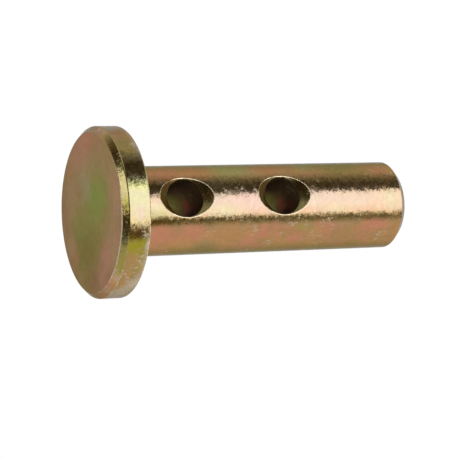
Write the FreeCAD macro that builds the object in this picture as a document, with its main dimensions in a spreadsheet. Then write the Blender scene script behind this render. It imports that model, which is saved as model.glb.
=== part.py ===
"""Drive pin: a round-headed steel pin with two countersunk cross holes.

The pin is one turned and drilled piece. It stands on the flat outer face of
its head: the origin is the centre of that face and +Z runs along the shank to
the chamfered tip. The cross holes run along Y. All sizes are millimetres.
"""

import FreeCAD
import Part
import Sketcher
import os

DOCUMENT_NAME = "DrivePin"
NODE_NAME = "drive_pin"
SHEET_NAME = "Sizes"
PARTS_FOLDER = "parts"

# Driving dimensions: alias, value, meaning. Lengths are in millimetres.
DRIVING_DIMENSIONS = [
    ("shank_diameter", 15.875, "diameter of the plain shank, 5/8 inch bar"),
    ("shank_length", 54.4, "underside of the head to the tip"),
    ("head_diameter", 30.0, "diameter of the head's rim"),
    ("head_thickness", 5.0, "outer face of the head to its underside"),
    ("head_bevel", 1.0, "45 degree bevel round the head's outer face"),
    ("rim_radius", 0.4, "rounded rear edge of the head's rim"),
    ("root_radius", 0.5, "fillet where the shank meets the head"),
    ("tip_chamfer", 1.25, "45 degree chamfer round the tip"),
    ("hole_diameter", 7.2, "diameter of each cross hole"),
    ("hole_count", 2, "number of cross holes along the shank"),
    ("hole_offset", 10.1, "underside of the head to the first hole's axis"),
    ("hole_pitch", 19.05, "distance from one hole's axis to the next, 3/4 inch"),
    ("countersink_width", 1.6, "how far a countersink widens its hole at the shank's crest"),
    ("countersink_angle", 120.0, "included angle of each countersink, in degrees"),
]

# Worked-out sizes: alias, formula in the cells above, meaning.
DERIVED_DIMENSIONS = [
    ("shank_radius", "=shank_diameter / 2", "radius of the shank"),
    ("head_radius", "=head_diameter / 2", "radius of the head's rim"),
    ("hole_radius", "=hole_diameter / 2", "radius of each cross hole"),
    ("pin_length", "=head_thickness + shank_length", "outer face of the head to the tip"),
    ("first_hole_height", "=head_thickness + hole_offset", "outer face to the first hole's axis"),
    ("last_hole_height", "=first_hole_height + (hole_count - 1) * hole_pitch", "to the last hole's axis"),
    ("plain_end_height", "=(last_hole_height + pin_length) / 2", "to the start of the plain end"),
    ("countersink_depth", "=countersink_width / tan(countersink_angle * 1deg / 2)", "along the hole"),
]

# Two lengths closer than this are the same edge's size.
MATCH_TOLERANCE = 1e-4


def fill_sheet(document):
    """Write every size into a spreadsheet, one aliased cell each."""
    sheet = document.addObject("Spreadsheet::Sheet", SHEET_NAME)
    rows = [(alias, str(value), meaning) for alias, value, meaning in DRIVING_DIMENSIONS]
    rows += DERIVED_DIMENSIONS
    for number, (alias, content, meaning) in enumerate(rows, start=1):
        sheet.set(f"A{number}", alias)
        sheet.set(f"B{number}", content)
        sheet.set(f"C{number}", meaning)
        sheet.setAlias(f"B{number}", alias)
    document.recompute()
    return sheet


def origin_feature(body, role):
    """Return the body's own base plane or axis of that role."""
    for feature in body.Origin.OriginFeatures:
        if feature.Role == role:
            return feature
    raise ValueError(f"the body has no origin feature {role}")


def add_sketch(body, name, plane_role):
    """Add an empty sketch on one of the body's base planes."""
    sketch = body.newObject("Sketcher::SketchObject", name)
    sketch.AttachmentSupport = [(origin_feature(body, plane_role), "")]
    sketch.MapMode = "FlatFace"
    return sketch


def add_closed_profile(sketch, corners, centred_lines=()):
    """Draw straight lines from corner to corner and back to the first one.

    A line that starts at corner number N is line number N. Each line that runs
    along a sketch axis stays parallel to it, and each one in centred_lines
    stays level and centred on the vertical axis.
    """
    count = len(corners)
    points = [FreeCAD.Vector(across, along, 0) for across, along in corners]
    for number in range(count):
        start = points[number]
        end = points[(number + 1) % count]
        line = sketch.addGeometry(Part.LineSegment(start, end), False)
        if line in centred_lines:
            sketch.addConstraint(Sketcher.Constraint("Symmetric", line, 1, line, 2, -2))
        elif abs(start.x - end.x) < MATCH_TOLERANCE:
            sketch.addConstraint(Sketcher.Constraint("Vertical", line))
        elif abs(start.y - end.y) < MATCH_TOLERANCE:
            sketch.addConstraint(Sketcher.Constraint("Horizontal", line))
    for number in range(count):
        following = (number + 1) % count
        sketch.addConstraint(Sketcher.Constraint("Coincident", number, 2, following, 1))


def add_size(sketch, kind, place, name, value, formula):
    """Add a named dimension to a sketch and tie it to the sheet."""
    constraint = sketch.addConstraint(Sketcher.Constraint(kind, *place, value))
    sketch.renameConstraint(constraint, name)
    sketch.setExpression(f"Constraints.{name}", formula)


def revolve_blank(body, sheet):
    """Turn the stepped blank: the head's disc and the shank, sharp-edged.

    The shank's side is drawn in two runs, the drilled run and the plain end,
    so that each is a face of its own whose middle lies clear of the holes.
    """
    head_radius = sheet.head_radius
    shank_radius = sheet.shank_radius
    thickness = sheet.head_thickness
    sketch = add_sketch(body, "BlankProfile", "XZ_Plane")
    corners = [
        (0, 0),
        (head_radius, 0),
        (head_radius, thickness),
        (shank_radius, thickness),
        (shank_radius, sheet.plain_end_height),
        (shank_radius, sheet.pin_length),
        (0, sheet.pin_length),
    ]
    add_closed_profile(sketch, corners)
    face_line, rim_line, drilled_line, plain_line, tip_line = 0, 1, 3, 4, 5
    sketch.addConstraint(Sketcher.Constraint("Coincident", face_line, 1, -1, 1))
    add_size(sketch, "DistanceX", (face_line, 1, face_line, 2), "HeadRadius", head_radius,
             "Sizes.head_radius")
    add_size(sketch, "DistanceY", (rim_line, 1, rim_line, 2), "HeadThickness", thickness,
             "Sizes.head_thickness")
    add_size(sketch, "DistanceX", (tip_line, 2, tip_line, 1), "ShankRadius", shank_radius,
             "Sizes.shank_radius")
    add_size(sketch, "DistanceY", (drilled_line, 1, plain_line, 2), "ShankLength", sheet.shank_length,
             "Sizes.shank_length")
    add_size(sketch, "DistanceY", (face_line, 1, plain_line, 1), "PlainEnd", sheet.plain_end_height,
             "Sizes.plain_end_height")
    blank = body.newObject("PartDesign::Revolution", "Blank")
    blank.Profile = sketch
    blank.ReferenceAxis = (sketch, ["V_Axis"])
    blank.Angle = 360
    blank.Refine = False
    return blank


def circle_edge(shape, radius, height):
    """Name the shape's full circle of that radius at that height on Z."""
    for number, edge in enumerate(shape.Edges, start=1):
        curve = edge.Curve
        if not isinstance(curve, Part.Circle):
            continue
        same_radius = abs(curve.Radius - radius) < MATCH_TOLERANCE
        same_height = abs(curve.Center.z - height) < MATCH_TOLERANCE
        if same_radius and same_height:
            return f"Edge{number}"
    raise ValueError(f"no edge of radius {radius} at height {height}")


def dress_edge(body, kind, name, base, radius, height, size_name, formula):
    """Chamfer or round one circular edge by a size from the sheet."""
    body.Document.recompute()
    feature = body.newObject(f"PartDesign::{kind}", name)
    feature.Base = (base, [circle_edge(base.Shape, radius, height)])
    feature.setExpression(size_name, formula)
    feature.Refine = False
    return feature


def dress_blank(body, sheet, blank):
    """Break the blank's four turned edges, from the head's face to the tip."""
    bevel = dress_edge(body, "Chamfer", "HeadBevel", blank, sheet.head_radius, 0,
                       "Size", "Sizes.head_bevel")
    rim = dress_edge(body, "Fillet", "HeadRim", bevel, sheet.head_radius, sheet.head_thickness,
                     "Radius", "Sizes.rim_radius")
    root = dress_edge(body, "Fillet", "ShankRoot", rim, sheet.shank_radius, sheet.head_thickness,
                      "Radius", "Sizes.root_radius")
    return dress_edge(body, "Chamfer", "TipChamfer", root, sheet.shank_radius, sheet.pin_length,
                      "Size", "Sizes.tip_chamfer")


def cut_first_hole(body, sheet):
    """Bore the first cross hole, countersunk alike on both sides.

    The cutter is half an hourglass turned about the hole's axis. Each cone has
    the countersink's full radius at the shank's crest and runs on as far again,
    so that it clears the round surface.
    """
    hole_radius = sheet.hole_radius
    seat = sheet.shank_radius - sheet.countersink_depth
    reach = sheet.shank_radius + sheet.countersink_depth
    mouth = hole_radius + 2 * sheet.countersink_width
    sketch = add_sketch(body, "CrossHoleProfile", "YZ_Plane")
    sketch.setExpression("AttachmentOffset.Base.y", "Sizes.first_hole_height")
    corners = [
        (-reach, 0),
        (-reach, mouth),
        (-seat, hole_radius),
        (seat, hole_radius),
        (reach, mouth),
        (reach, 0),
    ]
    left_line, wall_line, right_line, axis_line = 0, 2, 4, 5
    add_closed_profile(sketch, corners, centred_lines=(wall_line, axis_line))
    sketch.addConstraint(Sketcher.Constraint("PointOnObject", left_line, 1, -1))
    sketch.addConstraint(Sketcher.Constraint("Equal", left_line, right_line))
    add_size(sketch, "DistanceX", (wall_line, 1, wall_line, 2), "WallLength", 2 * seat,
             "2 * (Sizes.shank_radius - Sizes.countersink_depth)")
    add_size(sketch, "DistanceX", (axis_line, 2, axis_line, 1), "CutterLength", 2 * reach,
             "2 * (Sizes.shank_radius + Sizes.countersink_depth)")
    add_size(sketch, "DistanceY", (-1, 1, wall_line, 1), "HoleRadius", hole_radius,
             "Sizes.hole_radius")
    add_size(sketch, "DistanceY", (left_line, 1, left_line, 2), "MouthRadius", mouth,
             "Sizes.hole_radius + 2 * Sizes.countersink_width")
    hole = body.newObject("PartDesign::Groove", "CrossHole")
    hole.Profile = sketch
    hole.ReferenceAxis = (sketch, ["H_Axis"])
    hole.Angle = 360
    hole.Refine = False
    return hole


def repeat_hole(body, hole):
    """Repeat the cross hole along the shank at its pitch."""
    row = body.newObject("PartDesign::LinearPattern", "CrossHoleRow")
    row.Originals = [hole]
    row.Direction = (origin_feature(body, "Z_Axis"), [""])
    row.Mode = "Spacing"
    row.setExpression("Offset", "Sizes.hole_pitch")
    row.setExpression("Occurrences", "Sizes.hole_count")
    row.Refine = False
    body.Tip = row
    return row


def make_pin(document, sheet):
    """Build the whole pin as one body, in the order it is machined."""
    body = document.addObject("PartDesign::Body", "DrivePinBody")
    body.Label = NODE_NAME
    blank = revolve_blank(body, sheet)
    turned = dress_blank(body, sheet, blank)
    hole = cut_first_hole(body, sheet)
    repeat_hole(body, hole)
    document.recompute()
    check_drilled(body, turned, hole)
    return body


def check_drilled(body, turned, hole):
    """Stop if a cross hole, or its repeats, took nothing from the shank."""
    volumes = [turned.Shape.Volume, hole.Shape.Volume, body.Shape.Volume]
    if not volumes[0] > volumes[1] > volumes[2]:
        raise RuntimeError(f"a cross hole cuts nothing: volumes {volumes}")


def check_document(document):
    """Stop if any object of the document failed to compute."""
    for item in document.Objects:
        if "Invalid" in item.State or "Error" in item.State:
            raise RuntimeError(f"{item.Name} failed: {item.State}")


def check_solid(body):
    """Stop unless the body is one valid solid."""
    shape = body.Shape
    if shape.isNull() or not shape.isValid():
        raise RuntimeError(f"{body.Label} has no valid shape")
    if len(shape.Solids) != 1:
        raise RuntimeError(f"{body.Label} has {len(shape.Solids)} solids instead of one")


def main():
    """Make the document, build the pin, check it and write its STEP file."""
    document = FreeCAD.newDocument(DOCUMENT_NAME)
    sheet = fill_sheet(document)
    body = make_pin(document, sheet)
    check_document(document)
    check_solid(body)
    os.makedirs(PARTS_FOLDER, exist_ok=True)
    body.Shape.exportStep(os.path.join(PARTS_FOLDER, f"{body.Label}.step"))
    box = body.Shape.optimalBoundingBox()
    print(f"{body.Label}: volume {body.Shape.Volume:.1f} mm3, "
          f"box {box.XLength:.3f} x {box.YLength:.3f} x {box.ZLength:.3f} mm")


main()
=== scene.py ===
"""Looks of a headed drive pin in yellow chromate plated steel.

The pin stands on its head: the origin is the centre of the head's outer face, +Z runs along the
shank, and the two cross holes run along Y. Lengths in the classes are millimetres, and every
mesh is made in metres.
"""
import logging
import math
from dataclasses import dataclass, field
from enum import Enum
from typing import Callable, Sequence, Union

import bpy
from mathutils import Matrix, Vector


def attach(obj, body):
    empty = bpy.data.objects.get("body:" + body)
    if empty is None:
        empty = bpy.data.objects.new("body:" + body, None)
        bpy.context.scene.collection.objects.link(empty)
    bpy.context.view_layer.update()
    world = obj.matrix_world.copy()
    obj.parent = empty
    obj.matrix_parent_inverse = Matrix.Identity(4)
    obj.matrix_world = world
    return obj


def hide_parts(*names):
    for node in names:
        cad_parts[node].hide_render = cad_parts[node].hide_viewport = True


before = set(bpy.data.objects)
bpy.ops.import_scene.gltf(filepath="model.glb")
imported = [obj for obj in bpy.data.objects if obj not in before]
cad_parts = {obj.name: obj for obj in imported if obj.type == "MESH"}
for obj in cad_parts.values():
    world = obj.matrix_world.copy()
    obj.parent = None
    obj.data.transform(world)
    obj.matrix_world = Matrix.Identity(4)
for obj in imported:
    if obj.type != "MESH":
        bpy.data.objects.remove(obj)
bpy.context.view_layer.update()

MM = 0.001
LOG = logging.getLogger("drive_pin")
WEAR_ATTRIBUTE = "edge_wear"

Triple = tuple[float, float, float]
Span = tuple[float, float]
ProfilePoint = tuple[float, float, Vector, float, "Zone"]
Given = Union[bpy.types.NodeSocket, float, Sequence[float]]

WHITE = (1.0, 1.0, 1.0, 1.0)
CENTRED = (-0.5, -0.5, -0.5)


def crest(share: float, floor: float) -> float:
    """Wear across a rounded edge: whole in its middle and a given share at its two ends."""
    return floor + (1.0 - floor) * math.sin(math.pi * share)


def stand(piece: bpy.types.Object, axes: Sequence[Vector], place: Sequence[float]) -> None:
    """Turns an object, puts it in its place and links it to the scene.

    Args:
        piece: the object.
        axes: its own right, up and back as unit vectors.
        place: where it goes, in metres.
    """
    turn = piece.matrix_world.copy()
    for row in range(3):
        for column, axis in enumerate(axes):
            turn[row][column] = axis[row]
        turn[row][3] = place[row]
    piece.matrix_world = turn
    bpy.context.scene.collection.objects.link(piece)


class Zone(Enum):
    """The stretches of the pin's surface that are finished apart."""

    FACE = 0
    BEVEL = 1
    RIM = 2
    UNDERSIDE = 3
    SHANK = 4
    COUNTERSINK = 5
    BORE = 6
    CHAMFER = 7
    TIP = 8


class Tint(Enum):
    """Colours of the chromate film, and of painted highlight and shade, as linear reflectances."""

    STRAW = (0.30, 0.285, 0.175)
    GOLD = (0.24, 0.205, 0.090)
    LEMON = (0.31, 0.250, 0.048)
    BRASS = (0.36, 0.260, 0.080)
    HONEY = (0.30, 0.200, 0.135)
    PEACH = (0.31, 0.243, 0.188)
    BLUSH = (0.33, 0.225, 0.185)
    VANILLA = (0.31, 0.270, 0.165)
    AMBER = (0.43, 0.232, 0.092)
    BRONZE = (0.36, 0.212, 0.085)
    CORAL = (0.490, 0.205, 0.118)
    RUST = (0.40, 0.170, 0.085)
    TAN = (0.32, 0.190, 0.072)
    SAGE = (0.285, 0.260, 0.095)
    DRAB = (0.245, 0.185, 0.060)
    ROSE = (0.46, 0.225, 0.160)
    CLAY = (0.41, 0.265, 0.152)
    FAWN = (0.33, 0.190, 0.112)
    FERN = (0.27, 0.290, 0.092)
    KHAKI = (0.30, 0.215, 0.085)
    OLIVE = (0.23, 0.185, 0.070)
    UMBER = (0.22, 0.130, 0.060)
    CAROB = (0.11, 0.062, 0.022)
    KELP = (0.10, 0.085, 0.026)
    BROWN = (0.16, 0.090, 0.028)
    PEWTER = (0.40, 0.350, 0.280)
    LIME = (0.34, 0.340, 0.130)
    WORN = (0.50, 0.420, 0.310)
    CREAM = (0.80, 0.700, 0.480)
    RESIN = (0.13, 0.075, 0.004)
    QUINCE = (0.31, 0.265, 0.020)
    IVORY = (0.68, 0.590, 0.420)
    # Painted shade: the near-black colour of the bores.
    SHADE_BLACK = (0.085, 0.055, 0.022)
    BISTRE = (0.120, 0.080, 0.030)
    MOSS = (0.170, 0.160, 0.038)
    WINE = (0.260, 0.075, 0.055)

    @property
    def rgba(self) -> tuple[float, float, float, float]:
        """The tint with a full alpha."""
        return (*self.value, 1.0)


@dataclass(frozen=True)
class Rub:
    """How far an edge is rubbed through, most to one side of the pin.

    Args:
        amount: wear at its most rubbed side, from 0 to 1.
        turn: direction of that side about the axis, in degrees from +X.
        focus: how closely the wear keeps to that side.
        rest: share of the wear that goes all round.
    """

    amount: float = 0.0
    turn: float = -60.0
    focus: float = 2.0
    rest: float = 0.35

    def at(self, angle: float) -> float:
        """Wear in one direction about the axis, given in radians."""
        facing = max(0.0, math.cos(angle - math.radians(self.turn)))
        return self.amount * (self.rest + (1.0 - self.rest) * facing ** self.focus)


@dataclass(frozen=True)
class Corner:
    """One corner of the turned outline.

    Args:
        radius: distance from the axis, in mm.
        height: height above the head's face, in mm.
        rounding: radius of the rounded corner, in mm.
        zone: finish of the run that starts here.
        rub: how far the rounded corner is rubbed through.
    """

    radius: float
    height: float
    rounding: float
    zone: Zone
    rub: Rub = Rub()


@dataclass(frozen=True)
class Station:
    """One point of the turned outline.

    Args:
        radius: distance from the axis, in mm.
        height: height above the head's face, in mm.
        normal: outward normal as (outwards, along the axis).
        zone: finish of the run that starts here.
        wear: share of its edge's wear that falls here.
        rub: how far its edge is rubbed through.
    """

    radius: float
    height: float
    normal: Span
    zone: Zone
    wear: float = 0.0
    rub: Rub = Rub()


@dataclass
class Skin:
    """Collects the points and faces of one closed surface.

    Args:
        places: the points, in metres.
        normals: the surface's outward direction at each point.
        wear: edge wear at each point, from 0 to 1.
        faces: the indices of each face's points.
        zones: number of each face's zone.
    """

    places: list[Vector] = field(default_factory=list)
    normals: list[Vector] = field(default_factory=list)
    wear: list[float] = field(default_factory=list)
    faces: list[tuple[int, ...]] = field(default_factory=list)
    zones: list[int] = field(default_factory=list)

    def point(self, place: Vector, normal: Vector, wear: float = 0.0) -> int:
        """Adds a point.

        Args:
            place: the point, in mm.
            normal: the surface's outward direction there.
            wear: edge wear from 0 to 1.

        Returns:
            The point's index.
        """
        self.places.append(place * MM)
        self.normals.append(normal.normalized())
        self.wear.append(wear)
        return len(self.places) - 1

    def face(self, corners: Sequence[int], zone: Zone) -> None:
        """Adds a face, turned so that it agrees with its points' normals.

        Args:
            corners: indices of its points, in order round the face.
            zone: the finish that it takes.
        """
        ends = [self.places[index] for index in corners]
        across = (ends[2] - ends[0]).cross(ends[-1] - ends[1])
        outward = sum((self.normals[index] for index in corners), Vector((0.0, 0.0, 0.0)))
        order = tuple(corners) if across.dot(outward) > 0.0 else tuple(reversed(corners))
        self.faces.append(order)
        self.zones.append(zone.value)

    def bridge(self, first: Sequence[int], second: Sequence[int], zone: Zone) -> None:
        """Joins two closed rings of as many points with a band of faces.

        Args:
            first: indices of one ring's points.
            second: indices of the other ring's points.
            zone: the finish of the band.
        """
        count = len(first)
        for index in range(count):
            after = (index + 1) % count
            self.face((first[index], first[after], second[after], second[index]), zone)

    def to_object(self, name: str, finishes: Sequence[bpy.types.Material]) -> bpy.types.Object:
        """Makes the mesh object.

        Args:
            name: the piece's name.
            finishes: one material for each zone, in the order of the zones.

        Returns:
            The object, linked to the scene.
        """
        mesh = bpy.data.meshes.new(name)
        mesh.from_pydata([tuple(place) for place in self.places], [], self.faces)
        for finish in finishes:
            mesh.materials.append(finish)
        mesh.polygons.foreach_set("material_index", self.zones)
        mesh.polygons.foreach_set("use_smooth", [True] * len(self.faces))
        layer = mesh.attributes.new(WEAR_ATTRIBUTE, "FLOAT", "POINT")
        layer.data.foreach_set("value", self.wear)
        mesh.update()
        mesh.normals_split_custom_set_from_vertices([tuple(normal) for normal in self.normals])
        piece = bpy.data.objects.new(name, mesh)
        bpy.context.scene.collection.objects.link(piece)
        return piece


@dataclass
class TurnedOutline:
    """The pin's outline in the half plane through its axis, with rounded corners.

    Args:
        corners: the outline's corners, from the face's centre to the tip's.
        guard: distance of the extra point on each side of a rounding, in mm.
        steps: number of pieces of each rounding.
        end_wear: share of an edge's wear that is left at its two ends.
    """

    corners: Sequence[Corner]
    guard: float = 0.25
    steps: int = 6
    end_wear: float = 0.4

    def stations(self) -> list[Station]:
        """Rounds the corners.

        Returns:
            The outline's points from the face's centre to the tip's centre.
        """
        found: list[Station] = []
        last = len(self.corners) - 1
        for index, corner in enumerate(self.corners):
            if index in (0, last):
                end = self._direction(0, 1) if index == 0 else self._direction(last - 1, last)
                zone = corner.zone if index == 0 else self.corners[last - 1].zone
                found.append(Station(corner.radius, corner.height, self._outward(end), zone))
                continue
            found.extend(self._rounded(index))
        return found

    def _direction(self, start: int, end: int) -> Span:
        """Unit direction from one corner to another.

        Args:
            start: index of the first corner.
            end: index of the second corner.

        Returns:
            The direction as (outwards, along the axis).
        """
        across = self.corners[end].radius - self.corners[start].radius
        along = self.corners[end].height - self.corners[start].height
        length = math.hypot(across, along)
        return across / length, along / length

    @staticmethod
    def _outward(direction: Span) -> Span:
        """Outward normal of a run that goes that way."""
        return direction[1], -direction[0]

    def _rounded(self, index: int) -> list[Station]:
        """Rounds one corner.

        Args:
            index: the corner's index.

        Returns:
            The rounding's points, with a guard point on the run to each side.
        """
        corner = self.corners[index]
        before = self.corners[index - 1].zone
        way_in = self._direction(index - 1, index)
        way_out = self._direction(index, index + 1)
        first, last = self._outward(way_in), self._outward(way_out)
        turn = math.atan2(way_in[0] * way_out[1] - way_in[1] * way_out[0],
                          way_in[0] * way_out[0] + way_in[1] * way_out[1])
        side = 1.0 if turn > 0.0 else -1.0
        back = corner.rounding * math.tan(abs(turn) / 2.0)
        centre = (corner.radius - way_in[0] * back - side * first[0] * corner.rounding,
                  corner.height - way_in[1] * back - side * first[1] * corner.rounding)
        found = [Station(corner.radius - way_in[0] * (back + self.guard),
                         corner.height - way_in[1] * (back + self.guard), first, before)]
        start = math.atan2(first[1], first[0])
        for step in range(self.steps + 1):
            share = step / self.steps
            angle = start + turn * share
            normal = (math.cos(angle), math.sin(angle))
            worn = crest(share, self.end_wear)
            zone = before if share < 0.5 else corner.zone
            found.append(Station(centre[0] + side * corner.rounding * normal[0],
                                 centre[1] + side * corner.rounding * normal[1],
                                 normal, zone, worn, corner.rub))
        found.append(Station(corner.radius + way_out[0] * (back + self.guard),
                             corner.height + way_out[1] * (back + self.guard),
                             last, corner.zone))
        return found


@dataclass
class CrossHoles:
    """The two cross holes and the patches of shank round their four mouths.

    Args:
        first_height: height of the first hole's axis above the head's face, in mm.
        pitch: distance between the two holes, in mm.
        radius: radius of the bores, in mm.
        countersink_width: how far the countersinks reach past the bore, in mm.
        countersink_angle: included angle of the countersinks, in degrees.
        lip_setback: distance of the last plain ring from a mouth's edge, in mm.
        lip_rounding: how far the rounded lip reaches into a mouth, in mm.
        side_rounding: how much further it reaches on the mouth's +X side, in mm.
        lip_limit: most that the lip may take of the countersink's width, as a share.
        lip_steps: number of pieces of the lip's rounding.
        lip_wear: wear of the lip, what +X adds to it, and what -Z takes off it.
        end_wear: share of the lip's wear that is left at its two ends.
        bore_rounding: radius of the bore's rounded edge, in mm.
        bore_limit: most that it may take of the countersink's width, as a share.
        bore_steps: number of pieces of that edge.
        bore_rows: number of bands along a bore.
        cone_shares: where the countersink's own rings lie, as shares of its width.
        window_half: half the length of the patch round a mouth, in mm.
        patch_spread: where the patch's rings lie, as shares from the mouth outwards.
        halvings: number of halvings that find a mouth's edge.
    """

    first_height: float = 15.1
    pitch: float = 19.05
    radius: float = 3.43
    countersink_width: float = 1.77
    countersink_angle: float = 120.0
    lip_setback: float = 0.08
    lip_rounding: float = 0.20
    side_rounding: float = 0.12
    lip_limit: float = 0.85
    lip_steps: int = 6
    lip_wear: Triple = (0.92, 0.08, 0.28)
    end_wear: float = 0.35
    bore_rounding: float = 0.03
    bore_limit: float = 0.12
    bore_steps: int = 5
    bore_rows: int = 16
    cone_shares: Sequence[float] = (0.2, 0.5, 0.8)
    window_half: float = 7.0
    patch_spread: Sequence[float] = (0.03, 0.08, 0.16, 0.28, 0.44, 0.62, 0.80)
    halvings: int = 40

    def heights(self) -> list[float]:
        """Heights of the hole axes above the head's face."""
        return [self.first_height, self.first_height + self.pitch]

    def slope(self) -> float:
        """Rise of the countersink's radius for each mm outwards."""
        return math.tan(math.radians(self.countersink_angle / 2.0))

    def lip_radius(self, angle: float, shank_radius: float) -> float:
        """Radius of the countersink's edge about the hole's axis.

        Args:
            angle: direction about the hole's axis, from +X towards +Z.
            shank_radius: radius of the shank, in mm.

        Returns:
            The edge's distance from the hole's axis, in mm.
        """
        low, high = self.radius, self.radius + self.countersink_width
        for _ in range(self.halvings):
            middle = (low + high) / 2.0
            depth = shank_radius - math.sqrt(shank_radius ** 2 - (middle * math.cos(angle)) ** 2)
            cone = self.radius + self.countersink_width - depth * self.slope()
            if middle < cone:
                low = middle
            else:
                high = middle
        return (low + high) / 2.0

    def reach_in(self, angle: float) -> float:
        """How far the rounded lip reaches into the mouth: most at its +X side."""
        return self.lip_rounding + self.side_rounding * max(0.0, math.cos(angle))

    def cone_height(self, radius: float, shank_radius: float) -> float:
        """Distance of the countersink's cone from the shank's axis at one radius."""
        return shank_radius - (self.radius + self.countersink_width - radius) / self.slope()


@dataclass
class DrivePin:
    """The pin's fine surface: head, shank, cross holes and tip in one closed mesh.

    Args:
        shank_radius: radius of the shank, in mm.
        head_radius: radius of the head, in mm.
        head_thickness: thickness of the head, in mm.
        head_bevel: reach of the bevel round the head's face, in mm.
        tip_chamfer: reach of the tip's chamfer, in mm.
        pin_length: length of the whole pin, in mm.
        face_rounding: rounding between the head's face and its bevel, in mm.
        bevel_rounding: rounding between the bevel and the rim, in mm.
        rim_rounding: rounding of the rim's rear edge, in mm.
        root_rounding: fillet between the head and the shank, in mm.
        chamfer_rounding: rounding between the shank and the tip's chamfer, in mm.
        tip_rounding: rounding between the chamfer and the tip's face, in mm.
        columns: number of points round the pin.
        flat_rings: number of bands on each flat end.
        window_columns: half the number of columns in the patch round a mouth.
        row_spacing: most that two rows of the plain shank lie apart, in mm.
        holes: the cross holes.
        skin: the surface that is filled.
    """

    shank_radius: float = 7.9375
    head_radius: float = 15.0
    head_thickness: float = 5.0
    head_bevel: float = 1.0
    tip_chamfer: float = 1.25
    pin_length: float = 59.4
    face_rounding: float = 0.6
    bevel_rounding: float = 0.45
    rim_rounding: float = 0.4
    root_rounding: float = 0.5
    chamfer_rounding: float = 0.25
    tip_rounding: float = 0.20
    columns: int = 192
    flat_rings: int = 8
    window_columns: int = 24
    row_spacing: float = 0.7
    holes: CrossHoles = field(default_factory=CrossHoles)
    skin: Skin = field(default_factory=Skin)

    def outline(self) -> TurnedOutline:
        """The turned outline, before the cross holes.

        Returns:
            The outline from the face's centre to the tip's centre.
        """
        bevelled = self.head_radius - self.head_bevel
        tip_radius = self.shank_radius - self.tip_chamfer
        return TurnedOutline((
            Corner(0.0, 0.0, 0.0, Zone.FACE),
            Corner(bevelled, 0.0, self.face_rounding, Zone.BEVEL, Rub(1.0, turn=-55.0)),
            Corner(self.head_radius, self.head_bevel, self.bevel_rounding, Zone.RIM,
                   Rub(0.8, turn=-20.0, focus=4.0, rest=0.2)),
            Corner(self.head_radius, self.head_thickness, self.rim_rounding, Zone.UNDERSIDE, Rub(1.0)),
            Corner(self.shank_radius, self.head_thickness, self.root_rounding, Zone.SHANK),
            Corner(self.shank_radius, self.pin_length - self.tip_chamfer, self.chamfer_rounding,
                   Zone.CHAMFER, Rub(0.8)),
            Corner(tip_radius, self.pin_length, self.tip_rounding, Zone.TIP, Rub(0.6)),
            Corner(0.0, self.pin_length, 0.0, Zone.TIP),
        ))

    def direction(self, column: int) -> Vector:
        """Unit direction of one column about the pin's axis."""
        angle = 2.0 * math.pi * column / self.columns
        return Vector((math.cos(angle), math.sin(angle), 0.0))

    def ring(self, station: Station) -> list[int]:
        """Adds a full ring of points.

        Args:
            station: the outline's point that is turned.

        Returns:
            The ring's indices.
        """
        added = []
        for column in range(self.columns):
            way = self.direction(column)
            place = way * station.radius + Vector((0.0, 0.0, station.height))
            normal = way * station.normal[0] + Vector((0.0, 0.0, station.normal[1]))
            worn = station.wear * station.rub.at(math.atan2(way.y, way.x))
            added.append(self.skin.point(place, normal, worn))
        return added

    def build(self) -> Skin:
        """Makes the whole surface.

        Returns:
            The closed skin of the pin.
        """
        stations = self.outline().stations()
        split = max(index for index, station in enumerate(stations)
                    if station.zone is Zone.SHANK and station.height < self.pin_length / 2.0)
        root = self._lathe(stations[:split + 1], closes_start=True)
        tip = self._lathe(stations[split + 1:], closes_start=False)
        self._shank(root, tip, stations[split].height, stations[split + 1].height)
        return self.skin

    def _lathe(self, stations: Sequence[Station], closes_start: bool) -> list[int]:
        """Turns one stretch of the outline.

        Args:
            stations: the stretch's points, in order.
            closes_start: True for the head, whose stretch starts on the axis.

        Returns:
            The ring that the shank joins.
        """
        pole = stations[0] if closes_start else stations[-1]
        rest = list(stations[1:]) if closes_start else list(stations[:-1])
        centre = self.skin.point(Vector((0.0, 0.0, pole.height)), Vector((0.0, 0.0, pole.normal[1])))
        inner = rest[0] if closes_start else rest[-1]
        flats = [Station(inner.radius * (step / self.flat_rings), pole.height, pole.normal, pole.zone)
                 for step in range(1, self.flat_rings)]
        run = flats + rest if closes_start else rest + flats[::-1]
        rings = [self.ring(station) for station in run]
        for index in range(len(rings) - 1):
            self.skin.bridge(rings[index], rings[index + 1], run[index].zone)
        cap = rings[0] if closes_start else rings[-1]
        for column in range(self.columns):
            self.skin.face((centre, cap[column], cap[(column + 1) % self.columns]), pole.zone)
        return rings[-1] if closes_start else rings[0]

    def _heights(self, low: float, high: float) -> list[float]:
        """Spaces the shank's rows, evenly over each window.

        Args:
            low: height of the first row, in mm.
            high: height of the last row, in mm.

        Returns:
            The rows' heights, in mm.
        """
        marks = [low]
        for height in self.holes.heights():
            marks += [height - self.holes.window_half, height + self.holes.window_half]
        marks.append(high)
        rows: list[float] = [low]
        for index, (start, end) in enumerate(zip(marks, marks[1:])):
            window = index % 2 == 1
            count = 2 * self.window_columns if window else math.ceil((end - start) / self.row_spacing)
            rows += [start + (end - start) * (step + 1) / count for step in range(count)]
        return rows

    def _shank(self, root: list[int], tip: list[int], low: float, high: float) -> None:
        """Fills the shank between the two turned ends, with its cross holes.

        Args:
            root: the ring at the head's end.
            tip: the ring at the tip's end.
            low: height of the root ring, in mm.
            high: height of the tip ring, in mm.
        """
        rows = self._heights(low, high)
        grid: dict[tuple[int, int], int] = {}
        for column in range(self.columns):
            grid[0, column] = root[column]
            grid[len(rows) - 1, column] = tip[column]
        windows = self._windows(rows)

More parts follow.
